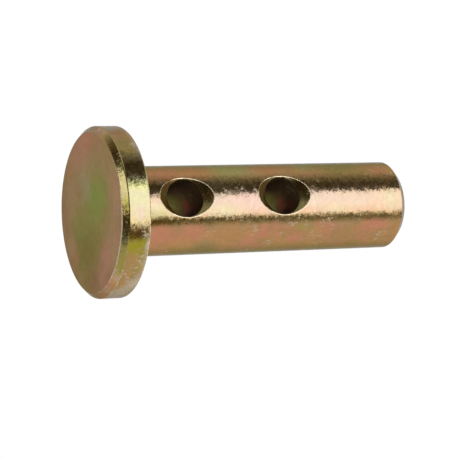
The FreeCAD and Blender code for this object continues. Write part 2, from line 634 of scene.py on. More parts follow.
        def corner(row: int, column: int) -> int:
            """Gives a grid point, which is added when it is first asked for.

            Args:
                row: the point's row.
                column: its column, which may pass the last one and start again.

            Returns:
                The point's index.
            """
            key = (row, column % self.columns)
            if key not in grid:
                way = self.direction(key[1])
                place = way * self.shank_radius + Vector((0.0, 0.0, rows[row]))
                grid[key] = self.skin.point(place, way)
            return grid[key]

        for row in range(len(rows) - 1):
            for column in range(self.columns):
                if any(self._inside(row, column, first_row) for first_row, _ in windows):
                    continue
                self.skin.face((corner(row, column), corner(row, column + 1),
                                corner(row + 1, column + 1), corner(row + 1, column)), Zone.SHANK)
        for first_row, height in windows:
            walls = [self._mouth(corner, first_row, height, side) for side in (-1.0, 1.0)]
            self._bore(walls[0], walls[1], height)

    def _windows(self, rows: Sequence[float]) -> list[tuple[int, float]]:
        """Finds where each hole's two windows start in the grid.

        Args:
            rows: heights of the shank's rows, in mm.

        Returns:
            The windows' first row and the height of the axis, for each hole.
        """
        found = []
        for height in self.holes.heights():
            start = height - self.holes.window_half
            found.append((min(range(len(rows)), key=lambda row: abs(rows[row] - start)), height))
        return found

    def _inside(self, row: int, column: int, first_row: int) -> bool:
        """Tells whether a grid face lies in one of a hole's two windows.

        Args:
            row: the face's row.
            column: its column.
            first_row: the windows' first row.

        Returns:
            True inside a window.
        """
        half = self.window_columns
        offset = (column - self.columns // 4 + half) % (self.columns // 2)
        return first_row <= row < first_row + 2 * half and offset < 2 * half

    def _mouth(self, corner: Callable[[int, int], int], first_row: int, height: float,
               side: float) -> list[int]:
        """Fills one window down to the edge of the bore.

        Args:
            corner: gives the index of a grid point from its row and column.
            first_row: the window's first row.
            height: height of the hole's axis, in mm.
            side: -1 for the mouth that faces -Y and 1 for the far one.

        Returns:
            The ring where the bore's wall starts.
        """
        half = self.window_columns
        middle = 3 * self.columns // 4 if side < 0.0 else self.columns // 4
        steps = [(half, step) for step in range(-half, half)]
        steps += [(-step, half) for step in range(-half, half)]
        steps += [(-half, -step) for step in range(-half, half)]
        steps += [(step, -half) for step in range(-half, half)]
        loop = [corner(first_row + half + up, middle + int(-side) * across) for across, up in steps]
        angle = 2.0 * math.pi / self.columns
        rise = self.holes.window_half / half
        flat = [(self.shank_radius * angle * across, rise * up) for across, up in steps]
        turns = [math.atan2(up, across) for across, up in flat]
        lips = [self.holes.lip_radius(turn, self.shank_radius) for turn in turns]
        rings = [loop]
        for share in reversed(self.holes.patch_spread):
            rings.append(self._patch_ring(flat, turns, lips, share, height, side))
        for index in range(len(rings) - 1):
            self.skin.bridge(rings[index], rings[index + 1], Zone.SHANK)
        profiles = [self._mouth_profile(turn, lip) for turn, lip in zip(turns, lips)]
        return self._sink(rings[-1], profiles, turns, height, side)

    def _patch_ring(self, flat: Sequence[Span], turns: Sequence[float],
                    lips: Sequence[float], share: float, height: float, side: float) -> list[int]:
        """Adds one ring between the mouth's edge and the window.

        Args:
            flat: the window's border, unrolled about the hole's axis, in mm.
            turns: direction of each border point about the hole's axis.
            lips: the mouth's radius in each direction, in mm.
            share: 0 at the mouth's edge and 1 at the window.
            height: height of the hole's axis, in mm.
            side: -1 for the mouth that faces -Y and 1 for the far one.

        Returns:
            The ring's indices.
        """
        added = []
        for (across, up), turn, lip in zip(flat, turns, lips):
            edge = lip + self.holes.lip_setback
            arc = self.shank_radius * math.asin(edge * math.cos(turn) / self.shank_radius)
            spread = arc + (across - arc) * share
            rise = edge * math.sin(turn) + (up - edge * math.sin(turn)) * share
            angle = spread / self.shank_radius
            normal = Vector((math.sin(angle), side * math.cos(angle), 0.0))
            place = normal * self.shank_radius + Vector((0.0, 0.0, height + rise))
            added.append(self.skin.point(place, normal))
        return added

    def _mouth_profile(self, turn: float, lip: float) -> list[ProfilePoint]:
        """The mouth's section in one direction about the hole's axis.

        Args:
            turn: the direction, from +X towards +Z.
            lip: radius of the countersink's edge there, in mm.

        Returns:
            Radius, distance from the shank's axis, normal as (outward from the hole's axis,
            along it, along X for the shank's own curve), wear and zone of each point.
        """
        holes = self.holes
        shelf = lip - holes.radius
        soften = min(holes.reach_in(turn), holes.lip_limit * shelf)
        bore_soften = min(holes.bore_rounding, holes.bore_limit * shelf)
        outer = lip + holes.lip_setback

        def shank_height(radius: float) -> float:
            """Distance of the shank's surface from its axis plane."""
            return math.sqrt(self.shank_radius ** 2 - (radius * math.cos(turn)) ** 2)

        half_angle = math.radians(holes.countersink_angle / 2.0)
        radial = Vector((math.cos(turn), 0.0, math.sin(turn)))
        outward = Vector((0.0, 1.0, 0.0))
        shank_normal = Vector((outer * math.cos(turn), shank_height(outer), 0.0)).normalized()
        cone_normal = outward * math.sin(half_angle) - radial * math.cos(half_angle)
        bore_normal = -radial
        lip_ends = ((outer, shank_height(outer)), (lip, shank_height(lip)),
                    (lip - soften, holes.cone_height(lip - soften, self.shank_radius)))
        floor = holes.cone_height(holes.radius, self.shank_radius)
        bore_ends = ((holes.radius + bore_soften,
                      holes.cone_height(holes.radius + bore_soften, self.shank_radius)),
                     (holes.radius, floor), (holes.radius, floor - holes.bore_rounding))
        wear, more, less = holes.lip_wear
        worn = wear + more * math.cos(turn) - less * max(0.0, -math.sin(turn))
        points = self._softened(lip_ends, shank_normal, cone_normal, holes.lip_steps, worn,
                                Zone.COUNTERSINK)
        points += [(lip - soften + (bore_ends[0][0] - lip + soften) * share,
                    lip_ends[2][1] + (bore_ends[0][1] - lip_ends[2][1]) * share,
                    cone_normal, 0.0, Zone.COUNTERSINK) for share in holes.cone_shares]
        points += self._softened(bore_ends, cone_normal, bore_normal, holes.bore_steps, 0.0, Zone.BORE)
        return points

    def _softened(self, ends: Sequence[Span], first: Vector, last: Vector, steps: int,
                  wear: float, zone: Zone) -> list[ProfilePoint]:
        """A rounded edge as a short curve from one surface to the next.

        Args:
            ends: start, corner and end as (radius, distance from the shank's axis), in mm.
            first: normal at the start.
            last: normal at the end.
            steps: number of pieces of the curve.
            wear: edge wear at its middle.
            zone: finish of the faces that it starts.

        Returns:
            The curve's points with their normals.
        """
        found = []
        for step in range(steps + 1):
            share = step / steps
            weights = ((1.0 - share) ** 2, 2.0 * share * (1.0 - share), share ** 2)
            radius = sum(weight * end[0] for weight, end in zip(weights, ends))
            reach = sum(weight * end[1] for weight, end in zip(weights, ends))
            worn = wear * crest(share, self.holes.end_wear)
            found.append((radius, reach, first.lerp(last, share).normalized(), worn, zone))
        return found

    def _sink(self, outer: list[int], profiles: Sequence[list[ProfilePoint]], turns: Sequence[float],
              height: float, side: float) -> list[int]:
        """Adds the rings of the lip, the countersink and the bore's edge.

        Args:
            outer: the ring just outside the lip.
            profiles: the mouth's section in each direction.
            turns: the directions about the hole's axis.
            height: height of the hole's axis, in mm.
            side: -1 for the mouth that faces -Y and 1 for the far one.

        Returns:
            The innermost ring.
        """
        ring = outer
        for level in range(len(profiles[0])):
            added = []
            for profile, turn in zip(profiles, turns):
                radius, reach, normal, wear, _ = profile[level]
                place = Vector((radius * math.cos(turn), side * reach, height + radius * math.sin(turn)))
                added.append(self.skin.point(place, Vector((normal.x, side * normal.y, normal.z)), wear))
            zone = profiles[0][level - 1][4] if level > 1 else Zone.SHANK
            self.skin.bridge(ring, added, zone)
            ring = added
        return ring

    def _bore(self, front: list[int], far: list[int], height: float) -> None:
        """Joins the two mouths of one hole with the bore's wall.

        Args:
            front: the innermost ring of the mouth that faces -Y.
            far: the innermost ring of the far mouth.
            height: height of the hole's axis, in mm.
        """
        depth = self.skin.places[front[0]].y / MM
        ring = front
        count = self.holes.bore_rows
        places = [self.skin.places[index] / MM for index in front]
        for step in range(1, count):
            reach = depth * (1.0 - 2.0 * step / count)
            added = [self.skin.point(Vector((place.x, reach, place.z)),
                                     Vector((-place.x, 0.0, height - place.z))) for place in places]
            self.skin.bridge(ring, added, Zone.BORE)
            ring = added
        self.skin.bridge(ring, far, Zone.BORE)


@dataclass
class PhotoCamera:
    """The camera at the photograph's viewing angle, in the pin's frame.

    Args:
        place: where it stands, in mm.
        looks: the direction that it looks in.
        image_up: the picture's upward direction.
        lens: its focal length, in mm.
        sensor: width of its sensor, in mm.
        clip: the nearest and the furthest that it sees, in metres.
    """

    place: Triple = (93.24, -290.13, -122.58)
    looks: Triple = (-0.26468, 0.85827, 0.43967)
    image_up: Triple = (-0.95080, -0.30839, 0.02962)
    lens: float = 148.72
    sensor: float = 36.0
    clip: Span = (0.001, 20.0)

    def axes(self) -> tuple[Vector, Vector, Vector]:
        """The picture's own directions.

        Returns:
            Right, up and back as unit vectors.
        """
        back = -Vector(self.looks).normalized()
        right = Vector(self.image_up).cross(back).normalized()
        return right, back.cross(right), back

    def build(self) -> bpy.types.Object:
        """Adds the camera and makes it the scene's own.

        Returns:
            The camera.
        """
        data = bpy.data.cameras.new("photo_camera")
        data.lens = self.lens
        data.sensor_width = self.sensor
        data.clip_start, data.clip_end = self.clip
        piece = bpy.data.objects.new("photo_camera", data)
        stand(piece, self.axes(), [part * MM for part in self.place])
        bpy.context.scene.camera = piece
        return piece


class Board:
    """Adds nodes to one node tree and links them."""

    def __init__(self, tree: bpy.types.NodeTree) -> None:
        """Keeps the node tree that is filled."""
        self.tree = tree

    def put(self, socket: bpy.types.NodeSocket, value: Given) -> None:
        """Links a socket to another, or sets its value.

        Args:
            socket: the input.
            value: another socket, or the value that it takes.
        """
        if isinstance(value, bpy.types.NodeSocket):
            self.tree.links.new(value, socket)
        else:
            socket.default_value = value

    def node(self, kind: str, given: dict[int | str, Given] | None = None,
             **settings: str | bpy.types.NodeTree) -> bpy.types.Node:
        """Adds a node and fills its inputs.

        Args:
            kind: the node's type.
            given: what each input takes, by the input's number or name.
            settings: properties of the node.

        Returns:
            The node.
        """
        node = self.tree.nodes.new(kind)
        for name, value in settings.items():
            setattr(node, name, value)
        for name, value in (given or {}).items():
            self.put(node.inputs[name], value)
        return node

    def math(self, operation: str, first: Given, second: Given) -> bpy.types.NodeSocket:
        """Adds a math node and returns its value."""
        return self.node("ShaderNodeMath", {0: first, 1: second}, operation=operation).outputs[0]

    def times(self, first: Given, second: Given) -> bpy.types.NodeSocket:
        """Multiplies two values and returns the product."""
        return self.math("MULTIPLY", first, second)

    def vector(self, operation: str, first: Given, second: Given = (0.0, 0.0, 0.0)) -> bpy.types.NodeSocket:
        """Adds a vector math node and returns its vector."""
        return self.node("ShaderNodeVectorMath", {0: first, 1: second}, operation=operation).outputs["Vector"]

    def scaled(self, vector: Given, scale: Given) -> bpy.types.NodeSocket:
        """Scales a vector and returns it."""
        return self.node("ShaderNodeVectorMath", {0: vector, "Scale": scale},
                         operation="SCALE").outputs["Vector"]

    def length(self, vector: Given) -> bpy.types.NodeSocket:
        """Measures a vector and returns its length."""
        return self.node("ShaderNodeVectorMath", {0: vector}, operation="LENGTH").outputs["Value"]

    def dot(self, vector: Given, axis: Vector) -> bpy.types.NodeSocket:
        """Adds a dot product with a fixed axis and returns its value."""
        return self.node("ShaderNodeVectorMath", {0: vector, 1: tuple(axis)},
                         operation="DOT_PRODUCT").outputs["Value"]

    def step(self, value: Given, low: Given, high: Given, start: Given = 0.0,
             end: Given = 1.0, kind: str = "SMOOTHSTEP") -> bpy.types.NodeSocket:
        """Adds a smooth step between two bounds.

        Args:
            value: what is compared.
            low: the lower bound.
            high: the upper bound.
            start: result at and below the lower bound.
            end: result at and above the upper bound.
            kind: shape of the way between them.

        Returns:
            The result.
        """
        given = {"Value": value, "From Min": low, "From Max": high, "To Min": start, "To Max": end}
        return self.node("ShaderNodeMapRange", given, interpolation_type=kind).outputs["Result"]

    def mix(self, factor: Given, first: Given, second: Given) -> bpy.types.NodeSocket:
        """Adds a colour mix and returns its colour."""
        return self.node("ShaderNodeMix", {0: factor, 6: first, 7: second}, data_type="RGBA").outputs[2]

    def noise(self, vector: Given, scale: Given, detail: float = 2.0, roughness: float = 0.5,
              output: str = "Fac") -> bpy.types.NodeSocket:
        """Adds a noise texture.

        Args:
            vector: where it is looked up.
            scale: how fine it is.
            detail: number of its finer layers.
            roughness: strength of those layers.
            output: "Fac" for its value or "Color" for its colour.

        Returns:
            The output asked for.
        """
        given = {"Vector": vector, "Scale": scale, "Detail": detail, "Roughness": roughness}
        return self.node("ShaderNodeTexNoise", given).outputs[output]

    def group(self, tree: bpy.types.NodeTree, given: dict[str, Given]) -> dict[str, bpy.types.NodeSocket]:
        """Adds a node group and returns its outputs by name."""
        node = self.node("ShaderNodeGroup", given, node_tree=tree)
        return {socket.name: socket for socket in node.outputs}


@dataclass(frozen=True)
class Softbox:
    """One area lamp, as the pin sees it.

    Args:
        name: the lamp's name.
        yaw: degrees to the picture's right of the camera.
        elevation: degrees above the camera.
        width: its angular width, in degrees.
        height: its angular height, in degrees.
    """

    name: str
    yaw: float
    elevation: float
    width: float
    height: float


@dataclass
class Studio:
    """A pale sweep, a dark front and two softboxes, set about the photograph's camera.

    The spans of the world are cosines between the way that is looked and the picture's own
    right, up and back.

    Args:
        camera: the photograph's camera.
        centre: the point that the lamps face, in mm.
        distance: distance of the lamps, in mm.
        radiance: how bright the lamps look, where 1 is white.
        boxes: the lamps.
        front: where the dark front fades in, towards the camera.
        floor_line: where the front ends at its foot.
        toe: height of the paler toe at the right.
        toe_side: where the toe starts, to the right.
        toe_share: how pale the toe is.
        crown: where the front's top opens.
        crown_right: where that opening ends, to the right.
        crown_left: where it ends, to the left.
        dark: colour of the front.
        room: light of the room on matt surfaces.
        floor_half: half the floor's side, in mm.
        floor_gap: distance of the floor below the pin, in mm.
        floor_fade: where the floor fades away, in mm from the pin.
        floor_shade: reflectance of the floor.
        floor_glow: light added to the floor for the camera alone, which keeps it white.
    """

    camera: PhotoCamera
    centre: Triple = (0.0, 0.0, 29.7)
    distance: float = 700.0
    radiance: float = 3.0
    boxes: tuple[Softbox, ...] = (Softbox("right_softbox", 55.0, 9.7, 62.0, 50.6),
                                  Softbox("left_softbox", -48.0, 17.8, 46.0, 29.6))
    front: Span = (-0.36, 0.12)
    floor_line: Span = (-0.505, -0.44)
    toe: Span = (-0.36, -0.20)
    toe_side: Span = (0.735, 0.79)
    toe_share: float = 0.35
    crown: Span = (0.64, 0.80)
    crown_right: Span = (0.10, 0.35)
    crown_left: Span = (-0.50, -0.30)
    dark: Triple = (0.080, 0.062, 0.022)
    room: float = 0.5
    floor_half: float = 2000.0
    floor_gap: float = 0.05
    floor_fade: Span = (40.0, 420.0)
    floor_shade: float = 0.86
    floor_glow: float = 0.21

    def aim(self, yaw: float, elevation: float) -> Vector:
        """Direction seen from the pin, from angles about the camera's own axes.

        Args:
            yaw: degrees to the picture's right of the camera.
            elevation: degrees above the camera.

        Returns:
            A unit vector in the pin's frame.
        """
        right, up, back = self.camera.axes()
        side, lift = math.radians(yaw), math.radians(elevation)
        level = back * math.cos(side) + right * math.sin(side)
        return level * math.cos(lift) + up * math.sin(lift)

    def hang(self, box: Softbox) -> bpy.types.Object:
        """Adds an area lamp that faces the pin.

        Args:
            box: what the lamp looks like from the pin.

        Returns:
            The lamp.
        """
        reach = self.distance * MM
        data = bpy.data.lights.new(box.name, "AREA")
        data.shape = "RECTANGLE"
        data.size = 2.0 * reach * math.tan(math.radians(box.width / 2.0))
        data.size_y = 2.0 * reach * math.tan(math.radians(box.height / 2.0))
        data.energy = self.radiance * math.pi * data.size * data.size_y
        piece = bpy.data.objects.new(box.name, data)
        back = self.aim(box.yaw, box.elevation)
        right = self.camera.axes()[1].cross(back).normalized()
        stand(piece, (right, back.cross(right), back), Vector(self.centre) * MM + back * reach)
        piece.visible_camera = False
        return piece

    def build_world(self) -> None:
        """Makes the world: white to the camera, a sweep with a dark front to the metal."""
        world = bpy.data.worlds.new("studio")
        bpy.context.scene.world = world
        world.use_nodes = True
        world.node_tree.nodes.clear()
        board = Board(world.node_tree)
        way = board.node("ShaderNodeTexCoord").outputs["Generated"]
        right, up, back = (board.dot(way, axis) for axis in self.camera.axes())
        toe = board.times(board.step(up, *self.toe, self.toe_share, 0.0),
                          board.step(right, *self.toe_side))
        above = board.times(board.step(up, *self.floor_line), board.math("SUBTRACT", 1.0, toe))
        beside = board.times(board.step(right, *self.crown_right, 1.0, 0.0),
                             board.step(right, *self.crown_left))
        crown = board.times(board.step(up, *self.crown), beside)
        lower = board.times(above, board.math("SUBTRACT", 1.0, crown))
        front = board.times(board.step(back, *self.front, kind="LINEAR"), lower)
        sweep = board.mix(front, WHITE, (*self.dark, 1.0))
        path = board.node("ShaderNodeLightPath").outputs
        seen = board.math("MAXIMUM", path["Is Camera Ray"], path["Is Transmission Ray"])
        plain = board.mix(seen, (self.room, self.room, self.room, 1.0), WHITE)
        shown = board.mix(path["Is Glossy Ray"], plain, sweep)
        light = board.node("ShaderNodeBackground", {"Color": shown, "Strength": 1.0})
        board.node("ShaderNodeOutputWorld", {"Surface": light.outputs[0]})

    def build_floor(self) -> None:
        """Adds the pale floor, which can be seen from above only."""
        half, level = self.floor_half * MM, -self.floor_gap * MM
        mesh = bpy.data.meshes.new("floor")
        mesh.from_pydata([(-half, -half, level), (half, -half, level),
                          (half, half, level), (-half, half, level)], [], [(0, 1, 2, 3)])
        paint = bpy.data.materials.new("floor_paint")
        paint.use_nodes = True
        paint.node_tree.nodes.clear()
        board = Board(paint.node_tree)
        matt = board.node("ShaderNodeBsdfDiffuse", {"Color": (*(self.floor_shade,) * 3, 1.0)})
        path = board.node("ShaderNodeLightPath").outputs
        glow = board.node("ShaderNodeEmission",
                          {"Strength": board.times(path["Is Camera Ray"], self.floor_glow)})
        pale = board.node("ShaderNodeAddShader", {0: matt.outputs[0], 1: glow.outputs[0]})
        clear = board.node("ShaderNodeBsdfTransparent")
        geometry = board.node("ShaderNodeNewGeometry").outputs
        near, far = self.floor_fade
        faded = board.step(board.length(geometry["Position"]), near * MM, far * MM)
        hidden = board.math("MAXIMUM", geometry["Backfacing"], faded)
        blend = board.node("ShaderNodeMixShader", {0: hidden, 1: pale.outputs[0], 2: clear.outputs[0]})
        board.node("ShaderNodeOutputMaterial", {"Surface": blend.outputs[0]})
        mesh.materials.append(paint)
        piece = bpy.data.objects.new("floor", mesh)
        bpy.context.scene.collection.objects.link(piece)
        piece.visible_diffuse = False
        piece.visible_glossy = False
        piece.visible_transmission = False
        piece.visible_shadow = False

    def build(self) -> None:
        """Adds the world, the floor and the lamps."""
        self.build_world()
        self.build_floor()
        for box in self.boxes:
            self.hang(box)


@dataclass(frozen=True)
class Blotch:
    """A patch of another colour: mostly film colour; the tables mark the ones that are painted highlight,
    reflection, light and shade.

    Args:
        place: its middle on the pin, in mm.
        size: its reach along X, Y and Z, in mm.
        tint: its colour.
        strength: how far it covers the film below.
    """

    place: Triple
    size: Triple
    tint: Tint
    strength: float = 0.8


@dataclass(frozen=True)
class Smudge:
    """A matt grey patch where the plating was rubbed, with its middle and its reach in mm."""

    place: Triple
    reach: float


# Film colour patches of the shank, with painted highlight and painted dark reflection strips marked below.
SHANK_FILM_AND_PAINTED_BANDS = (
    # Painted highlight: the pale peach strip and the honey strip below it run along the side in view, where
    # the lamps' highlight falls.
    Blotch((1.0, -7.8, 31.0), (3.9, 5.0, 60.0), Tint.PEACH, 0.98),
    Blotch((3.1, -7.3, 31.0), (0.9, 2.0, 60.0), Tint.HONEY, 0.6),
    Blotch((0.6, -7.9, 27.5), (2.2, 3.0, 5.0), Tint.BLUSH, 0.8),
    Blotch((2.4, -7.5, 9.5), (1.8, 2.4, 4.0), Tint.VANILLA, 0.9),
    Blotch((2.9, -7.4, 22.0), (1.2, 2.0, 4.0), Tint.VANILLA, 0.8),
    Blotch((3.0, -7.3, 44.0), (1.2, 2.0, 3.0), Tint.VANILLA, 0.7),
    Blotch((1.0, -7.9, 56.0), (2.4, 2.4, 2.4), Tint.VANILLA, 0.6),
    Blotch((-2.6, -7.5, 36.0), (1.7, 2.4, 40.0), Tint.DRAB, 0.7),
    # Painted dark reflection: the drab and resin strips darken the dark reflected line below the highlight
    # along the whole shank.
    Blotch((4.2, -6.7, 31.0), (0.9, 1.4, 60.0), Tint.DRAB, 0.7),
    Blotch((4.3, -6.7, 34.0), (0.7, 1.0, 60.0), Tint.RESIN, 0.35),
    Blotch((3.2, -7.2, 8.6), (1.1, 1.6, 3.6), Tint.GOLD, 0.8),
    Blotch((4.2, -6.7, 8.8), (0.9, 1.2, 4.6), Tint.RESIN, 0.9),
    Blotch((-1.5, -7.8, 17.0), (1.3, 2.0, 12.0), Tint.STRAW, 0.6),
    Blotch((-6.3, -4.8, 31.0), (3.0, 3.4, 60.0), Tint.TAN, 0.95),
    Blotch((-5.2, -6.0, 25.0), (2.6, 2.6, 5.6), Tint.SAGE, 0.9),
    Blotch((-5.8, -5.4, 40.2), (1.8, 1.8, 2.4), Tint.SAGE, 0.6),
    Blotch((-5.2, -6.0, 46.5), (3.0, 3.0, 6.4), Tint.DRAB, 0.95),
    Blotch((-4.9, -6.2, 11.8), (2.0, 2.0, 3.4), Tint.RUST, 0.6),
    Blotch((-4.9, -6.2, 19.0), (2.0, 2.0, 2.6), Tint.RUST, 0.45),
    Blotch((-3.9, -6.9, 12.5), (1.4, 1.6, 6.0), Tint.RUST, 0.5),
    Blotch((-5.2, -6.0, 31.8), (2.0, 2.0, 2.8), Tint.RUST, 0.45),
    Blotch((-4.9, -6.2, 54.8), (2.4, 2.4, 2.6), Tint.RUST, 0.5),
    Blotch((6.2, -5.0, 10.4), (2.0, 2.2, 3.8), Tint.CORAL, 0.9),
    Blotch((6.0, -5.3, 16.6), (1.8, 2.0, 2.6), Tint.CORAL, 0.8),
    Blotch((6.0, -5.2, 24.0), (2.4, 2.4, 5.0), Tint.AMBER, 0.9),
    Blotch((5.6, -5.6, 52.8), (1.5, 1.5, 1.5), Tint.CORAL, 0.9),
    Blotch((6.8, -4.1, 37.1), (2.4, 2.4, 3.0), Tint.BRONZE, 0.8),
    Blotch((7.0, -3.7, 47.0), (2.4, 2.4, 5.0), Tint.BRONZE, 0.8),
    Blotch((6.1, -5.1, 30.2), (1.5, 1.7, 1.4), Tint.CORAL, 0.9),
    Blotch((7.0, -3.7, 28.4), (1.2, 1.4, 1.6), Tint.CORAL, 0.7),
    Blotch((7.0, -3.7, 36.9), (1.2, 1.6, 2.0), Tint.CORAL, 0.9),
    Blotch((5.5, -5.8, 38.2), (1.0, 1.2, 2.2), Tint.BRASS, 0.8),
    Blotch((7.8, -1.6, 19.7), (2.0, 2.4, 3.4), Tint.OLIVE, 0.7),
    Blotch((7.9, -0.8, 31.0), (1.2, 1.8, 60.0), Tint.DRAB, 0.5),
)

SHANK_SMUDGES = (
    Smudge((-1.3, -7.8, 25.7), 1.8), Smudge((-0.8, -7.9, 23.0), 1.3), Smudge((-0.9, -7.9, 28.2), 1.3),
    Smudge((4.2, -6.7, 37.0), 1.4), Smudge((4.8, -6.3, 42.6), 2.2), Smudge((7.0, -3.7, 54.4), 2.2),
    Smudge((4.8, -6.4, 27.5), 1.2), Smudge((5.6, -5.6, 28.1), 2.2), Smudge((6.1, -5.0, 19.8), 1.4),
    Smudge((7.5, -2.7, 31.9), 1.8), Smudge((4.7, -6.4, 35.4), 1.6), Smudge((6.6, -4.4, 40.6), 2.4),
    Smudge((5.7, -5.5, 43.8), 1.8), Smudge((6.7, -4.2, 34.3), 1.6), Smudge((3.7, -7.0, 20.6), 1.4),
    Smudge((3.7, -7.0, 23.0), 1.6), Smudge((3.7, -7.0, 25.6), 1.6), Smudge((4.2, -6.7, 48.9), 1.6),
)

FACE_PATCHES = tuple(
    Blotch((x, y, 0.0), (width, height, 2.0), tint, strength)
    for x, y, width, height, tint, strength in (
        (-9.0, -2.0, 6.0, 12.0, Tint.CLAY, 0.8),
        (-12.4, -2.6, 4.0, 7.0, Tint.ROSE, 0.95),
        (6.0, -8.0, 9.0, 5.0, Tint.CLAY, 0.6),
        (2.0, 1.0, 8.0, 9.0, Tint.KHAKI, 0.8),
        (-1.6, -3.4, 5.4, 5.4, Tint.FERN, 0.95),
        (1.2, 3.6, 4.0, 6.4, Tint.SAGE, 0.7),
        (6.0, 4.6, 5.0, 6.4, Tint.OLIVE, 0.7),
        (3.5, 11.6, 5.0, 3.0, Tint.FAWN, 0.9),
        (9.9, -6.0, 2.8, 4.8, Tint.CLAY, 0.6),
        (12.3, 0.5, 4.0, 8.0, Tint.FAWN, 0.9),
        (2.0, -12.2, 6.4, 2.8, Tint.CLAY, 0.9),
        (-5.5, 12.2, 6.0, 3.4, Tint.FAWN, 0.8),
        (9.3, -4.0, 3.0, 3.0, Tint.ROSE, 0.8),
        (-5.7, 0.2, 2.4, 2.8, Tint.PEWTER, 0.25),
        (-3.0, 1.0, 1.6, 2.0, Tint.PEWTER, 0.2),
        (-7.2, -4.2, 2.6, 3.0, Tint.CLAY, 0.5),
        (11.2, 3.8, 3.0, 3.4, Tint.UMBER, 0.3),
        (12.2, -1.2, 2.2, 2.4, Tint.ROSE, 0.6),
        (2.7, 11.1, 2.4, 2.6, Tint.CLAY, 0.6),
        (5.5, 10.1, 1.8, 2.0, Tint.CORAL, 0.3),
        (-11.7, 3.6, 2.2, 2.4, Tint.ROSE, 0.7),
        (-12.4, -3.3, 2.2, 2.4, Tint.CORAL, 0.4),
        (-10.1, -7.9, 2.2, 2.4, Tint.ROSE, 0.8),
        (-9.9, 6.4, 2.0, 2.2, Tint.CORAL, 0.3),
        (-1.0, -13.2, 2.4, 2.6, Tint.ROSE, 0.5),
        (2.8, -12.6, 2.6, 2.9, Tint.ROSE, 0.45),
        (6.2, -11.7, 2.6, 2.9, Tint.FAWN, 0.6),
        (7.9, -9.1, 2.2, 2.4, Tint.ROSE, 0.4),
        (-9.5, -6.6, 3.0, 3.3, Tint.KHAKI, 0.4),
        (-6.5, -3.9, 3.0, 3.3, Tint.KHAKI, 0.3),
    ))

RIM_FILM_AND_PAINTED_HIGHLIGHT = (
    # Painted highlight: a pale straw patch on the side facing the camera, where the rim's highlight falls.
    Blotch((1.5, -14.8, 3.0), (8.0, 3.0, 4.5), Tint.STRAW, 0.95),
    Blotch((4.7, -14.2, 2.8), (1.6, 2.0, 1.6), Tint.PEACH, 0.8),
    Blotch((-10.4, -10.8, 2.2), (2.4, 2.0, 2.4), Tint.FAWN, 0.9),
    Blotch((-8.4, -12.4, 2.8), (1.6, 2.0, 2.4), Tint.OLIVE, 0.8),
    Blotch((9.3, -11.8, 2.6), (2.2, 2.0, 2.6), Tint.QUINCE, 0.9),
    Blotch((7.7, -12.9, 2.4), (1.1, 1.1, 3.0), Tint.BROWN, 0.9),
    Blotch((-3.0, -14.7, 2.4), (1.6, 1.4, 3.0), Tint.BROWN, 0.7),
    Blotch((8.3, -12.5, 2.2), (0.9, 0.9, 2.4), Tint.CAROB, 0.8),
    Blotch((8.2, -12.5, 1.4), (1.0, 1.0, 1.2), Tint.RESIN, 0.8),
    Blotch((10.0, -11.2, 2.6), (1.8, 1.8, 2.2), Tint.QUINCE, 0.8),
    Blotch((0.1, -15.0, 3.0), (1.0, 1.4, 4.0), Tint.LIME, 0.8),
    Blotch((9.9, -11.2, 4.6), (2.2, 2.2, 0.5), Tint.WORN, 0.9),
    Blotch((12.4, -8.4, 4.6), (2.2, 2.2, 0.5), Tint.WORN, 0.9),
    Blotch((14.2, -4.9, 4.5), (2.0, 2.6, 1.0), Tint.WORN, 0.8),
    Blotch((-7.0, -13.3, 4.7), (4.0, 2.4, 0.8), Tint.PEWTER, 0.7),
    Blotch((-11.5, -9.6, 4.7), (2.4, 3.4, 0.8), Tint.PEWTER, 0.7),
    Blotch((11.4, -9.7, 2.6), (1.2, 1.2, 1.2), Tint.AMBER, 0.7),
    Blotch((11.0, -10.2, 3.6), (1.4, 1.4, 1.4), Tint.LEMON, 0.7),
    Blotch((-12.6, -8.2, 2.2), (2.2, 2.2, 3.0), Tint.PEWTER, 0.9),
    Blotch((12.6, -8.1, 4.0), (1.2, 1.4, 1.2), Tint.BRASS, 0.8),
    Blotch((13.4, -6.7, 2.0), (1.4, 1.6, 1.2), Tint.AMBER, 0.7),
    Blotch((14.4, -4.1, 3.4), (1.2, 1.8, 1.4), Tint.WORN, 0.9),
    Blotch((14.4, -4.2, 2.0), (1.4, 1.8, 1.4), Tint.AMBER, 0.7),
    Blotch((15.0, -0.6, 2.6), (2.0, 3.0, 3.0), Tint.WORN, 0.9),
)

RIM_SMUDGES = (
    Smudge((7.5, -13.0, 4.2), 2.0), Smudge((-7.9, -12.7, 4.2), 1.0), Smudge((11.4, -9.8, 3.8), 2.2),
    Smudge((12.4, -8.5, 3.6), 1.6), Smudge((13.3, -6.9, 1.6), 1.2), Smudge((13.8, -5.8, 3.0), 2.6),
    Smudge((14.5, -3.8, 3.6), 2.4), Smudge((14.9, -1.6, 3.4), 2.4), Smudge((14.8, -2.4, 2.0), 1.8),
)

